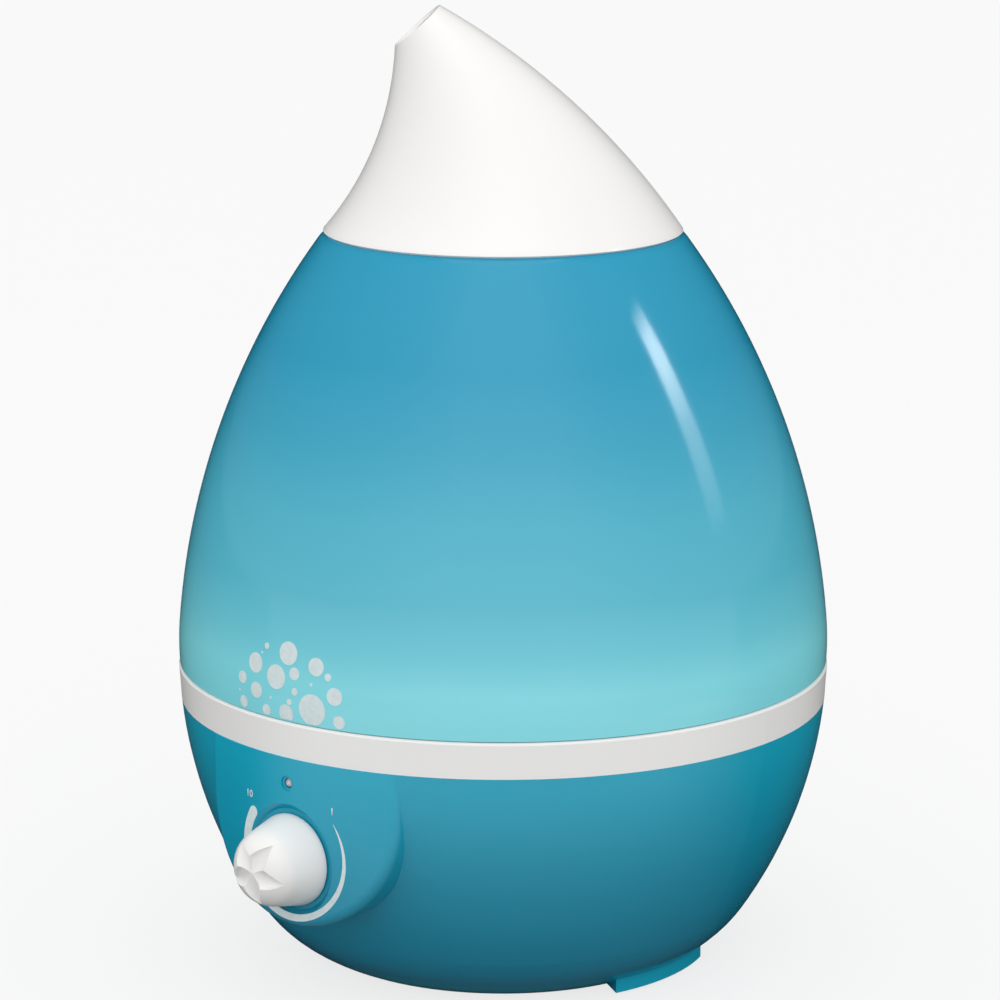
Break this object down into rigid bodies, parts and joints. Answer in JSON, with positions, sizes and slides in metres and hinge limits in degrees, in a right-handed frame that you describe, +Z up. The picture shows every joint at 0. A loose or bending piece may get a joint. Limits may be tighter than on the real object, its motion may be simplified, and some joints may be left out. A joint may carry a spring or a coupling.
{
  "type": "cool mist humidifier",
  "caption": "Drop-shaped tabletop cool mist humidifier with a lift-off water tank, swirl-tip swivelling nozzle, mist control knob and ultrasonic base.",
  "frame": {"origin": "point on the table, on the upright axis of the round body, in the plane that the foot pads stand on", "axes": "+Z up along the body's axis; the control panel and knob face -Y; +X is to the right seen from the front"},
  "size_m": [0.215, 0.2324, 0.3136],
  "materials": {
    "blue_housing": "gloss",
    "blue_tank": "gloss",
    "white_gloss": "gloss",
    "white_matte": "matte",
    "black_rubber": "matte",
    "silicone": "matte",
    "black_plastic": "matte",
    "steel": "satin",
    "ceramic_disc": "satin",
    "magnet": "satin",
    "bare_aluminium": "satin",
    "circuit_board": "matte",
    "clear_lens": "gloss"
  },
  "bodies": {
    "base": {"base_housing": "blue_housing", "intake_grille": "blue_housing", "foot_pads": "black_rubber", "basin": "white_gloss", "basin_screws": "steel", "transducer_disc": "ceramic_disc", "transducer_seal": "silicone", "transducer_retainer": "black_plastic", "retainer_screws": "steel", "float_clip": "white_matte", "reed_switch": "clear_lens", "fan_frame": "black_plastic", "fan_screws": "steel", "air_duct": "white_matte", "driver_board": "circuit_board", "heat_sink": "bare_aluminium", "driver_screws": "steel", "control_board": "circuit_board", "board_screws": "steel", "potentiometer": "black_plastic", "pot_nut": "steel", "indicator_led": "clear_lens", "dc_socket": "black_plastic", "socket_nut": "steel"},
    "knob": {"control_knob": "white_gloss", "pot_shaft": "bare_aluminium"},
    "rotor": {"fan_rotor": "black_plastic"},
    "float": {"float_ring": "white_matte", "float_magnet": "magnet"},
    "tank": {"tank_shell": "blue_tank", "tank_floor": "white_matte", "mist_tube": "white_matte", "mist_tube_seal": "silicone"},
    "cap": {"tank_cap": "white_matte", "cap_gasket": "silicone", "valve_spring": "steel"},
    "valve": {"valve_plunger": "white_matte", "valve_seal": "silicone"},
    "cup": {"mist_cup": "white_gloss"},
    "nozzle": {"nozzle": "white_gloss"}
  },
  "joints": [
    {"name": "knob_turn", "type": "hinge", "parent": "base", "child": "knob", "pos_m": [0, -0.1, 0.0533], "axis": [0, 1, 0], "range_deg": [0, 270]},
    {"name": "fan_spin", "type": "hinge", "parent": "base", "child": "rotor", "pos_m": [0.034, -0.009, 0.019], "axis": [0, 0, 1], "continuous": true},
    {"name": "float_rise", "type": "slide", "parent": "base", "child": "float", "axis": [0, 0, 1], "range_m": [0, 0.008]},
    {"name": "tank_lift", "type": "slide", "parent": "base", "child": "tank", "axis": [0, 0, 1], "range_m": [0, 0.07]},
    {"name": "cap_unscrew", "type": "hinge", "parent": "tank", "child": "cap", "pos_m": [0, 0.052, 0.09], "axis": [0, 0, -1], "range_deg": [0, 360]},
    {"name": "valve_close", "type": "slide", "parent": "cap", "child": "valve", "axis": [0, 0, -1], "range_m": [0, 0.003], "deforming": ["valve_spring"]},
    {"name": "nozzle_lift", "type": "slide", "parent": "tank", "child": "cup", "axis": [0, 0, 1], "range_m": [0, 0.04]},
    {"name": "nozzle_turn", "type": "hinge", "parent": "cup", "child": "nozzle", "pos_m": [0, 0, 0.243], "axis": [0, 0, 1], "continuous": true}
  ],
  "couplings": [
    {"joint": "valve_close", "follows": "tank_lift", "ratio": 0.042857}
  ]
}
